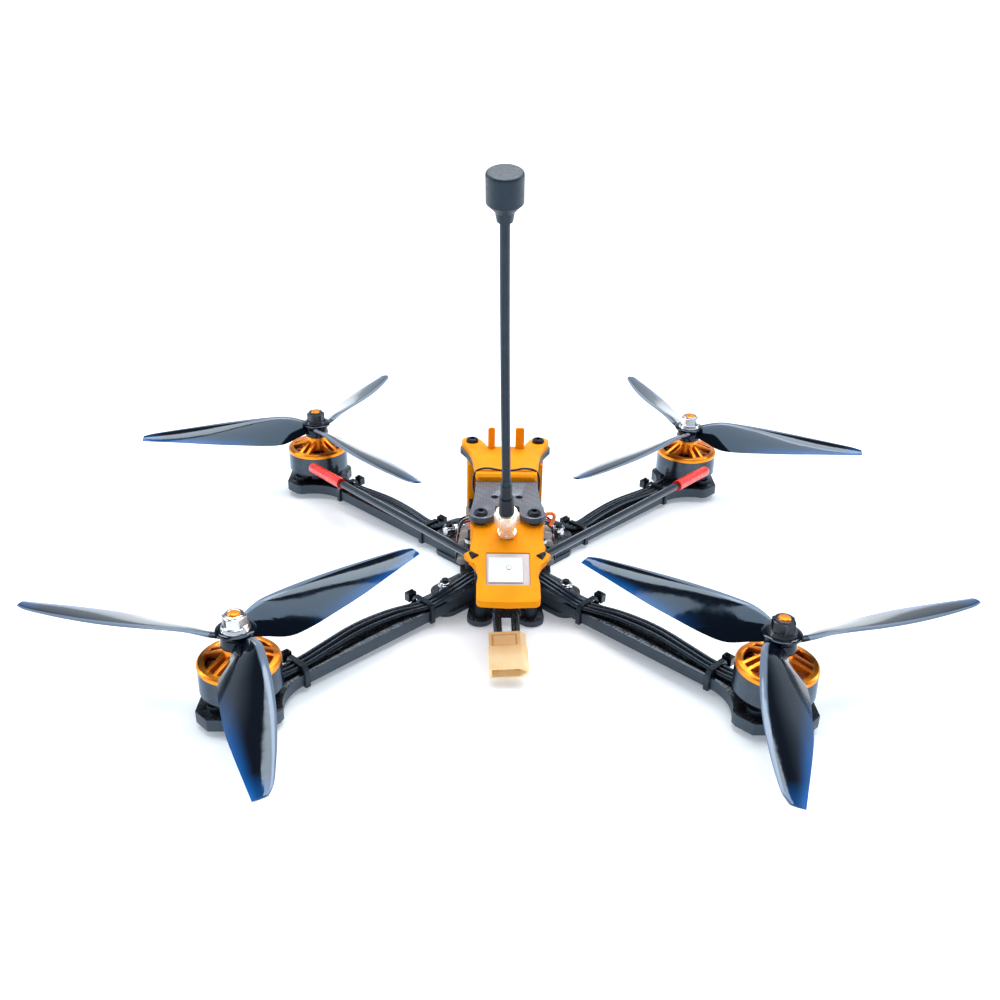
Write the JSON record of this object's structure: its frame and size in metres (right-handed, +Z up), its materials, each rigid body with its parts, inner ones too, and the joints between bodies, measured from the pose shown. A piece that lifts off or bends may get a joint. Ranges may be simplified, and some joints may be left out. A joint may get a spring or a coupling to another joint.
{
  "type": "fpv racing drone",
  "caption": "X-frame racing quadcopter with carbon arms, spinning three-blade propellers, tilting nose camera, tall rear antenna and a battery plug on two leads.",
  "frame": {"origin": "middle of the bottom plate's underside, on the plane the drone stands on", "axes": "+Y is the drone's forward direction, +X its right, +Z up"},
  "size_m": [0.3701, 0.3724, 0.197],
  "materials": {
    "antenna_black": "satin black",
    "carbon_arm": "satin carbon fibre laminate with machined edges",
    "orange_aluminium": "orange anodised, satin",
    "carbon_plate": "satin twill carbon fibre plate",
    "camera_black": "fine satin",
    "printed_orange": "orange flexible 3-D print with layer lines",
    "lens": "glossy black barrel and coated glass",
    "circuit_board": "black solder mask",
    "black_ring": "semi-gloss black, no text",
    "black_screw": "black oxide",
    "ceramic": "white ceramic patch",
    "silver_nut": "bright plated",
    "black_aluminium": "black anodised, satin",
    "silicone_lead": "black silicone insulation",
    "steel": "ground steel",
    "black_nut": "black anodised",
    "prop_blue": "glossy dark blue, slightly see-through polycarbonate",
    "gold": "gold plated",
    "black_rubber": "matte",
    "copper": "enamelled copper wire",
    "red_cap": "glossy red vinyl",
    "shield_can": "tinned shield can",
    "plug_yellow": "satin yellow nylon",
    "black_nylon": "satin nylon"
  },
  "bodies": {
    "airframe": {"antenna_cap": "antenna_black", "antenna_stalk": "antenna_black", "arm_front_left": "carbon_arm", "arm_front_right": "carbon_arm", "arm_rear_left": "carbon_arm", "arm_rear_right": "carbon_arm", "bottom_plate": "carbon_plate", "camera_cage": "printed_orange", "esc_board": "circuit_board", "flight_controller": "circuit_board", "frame_screws": "black_screw", "front_mount": "printed_orange", "gps_module": "ceramic", "lock_nuts": "silver_nut", "mid_plate": "carbon_plate", "motor_base_front_left": "black_aluminium", "motor_base_front_right": "black_aluminium", "motor_base_rear_left": "black_aluminium", "motor_base_rear_right": "black_aluminium", "motor_leads": "silicone_lead", "plate_screws": "black_screw", "power_lead_left": "silicone_lead", "power_lead_right": "silicone_lead", "rear_mount": "printed_orange", "receiver_tubes": "antenna_black", "sma_connector": "gold", "stack_spacers": "black_rubber", "standoffs": "black_aluminium", "stator_front_left": "copper", "stator_front_right": "copper", "stator_rear_left": "copper", "stator_rear_right": "copper", "top_plate": "carbon_plate", "tube_caps": "red_cap", "video_transmitter": "shield_can", "xt60_contacts": "gold", "xt60_housing": "plug_yellow", "zip_ties": "black_nylon"},
    "rotor_rear_left": {"bell_cap_rear_left": "orange_aluminium", "flux_ring_rear_left": "black_ring", "motor_shaft_rear_left": "steel", "propeller_rear_left": "prop_blue", "prop_nut_rear_left": "silver_nut"},
    "rotor_rear_right": {"bell_cap_rear_right": "orange_aluminium", "flux_ring_rear_right": "black_ring", "motor_shaft_rear_right": "steel", "propeller_rear_right": "prop_blue", "prop_nut_rear_right": "black_nut"},
    "rotor_front_left": {"bell_cap_front_left": "orange_aluminium", "flux_ring_front_left": "black_ring", "motor_shaft_front_left": "steel", "propeller_front_left": "prop_blue", "prop_nut_front_left": "black_nut"},
    "rotor_front_right": {"bell_cap_front_right": "orange_aluminium", "flux_ring_front_right": "black_ring", "motor_shaft_front_right": "steel", "propeller_front_right": "prop_blue", "prop_nut_front_right": "silver_nut"},
    "camera": {"camera_body": "camera_black", "camera_lens": "lens"}
  },
  "joints": [
    {"name": "motor_spin_rear_left", "type": "hinge", "parent": "airframe", "child": "rotor_rear_left", "pos_m": [-0.099, -0.099, 0.0339], "axis": [0, 0, 1], "continuous": true},
    {"name": "motor_spin_rear_right", "type": "hinge", "parent": "airframe", "child": "rotor_rear_right", "pos_m": [0.099, -0.099, 0.0339], "axis": [0, 0, 1], "continuous": true},
    {"name": "motor_spin_front_left", "type": "hinge", "parent": "airframe", "child": "rotor_front_left", "pos_m": [-0.099, 0.099, 0.0339], "axis": [0, 0, 1], "continuous": true},
    {"name": "motor_spin_front_right", "type": "hinge", "parent": "airframe", "child": "rotor_front_right", "pos_m": [0.099, 0.099, 0.0339], "axis": [0, 0, 1], "continuous": true},
    {"name": "camera_tilt", "type": "hinge", "parent": "airframe", "child": "camera", "pos_m": [0, 0.0355, 0.036], "axis": [1, 0, 0], "range_deg": [-10, 35]}
  ]
}
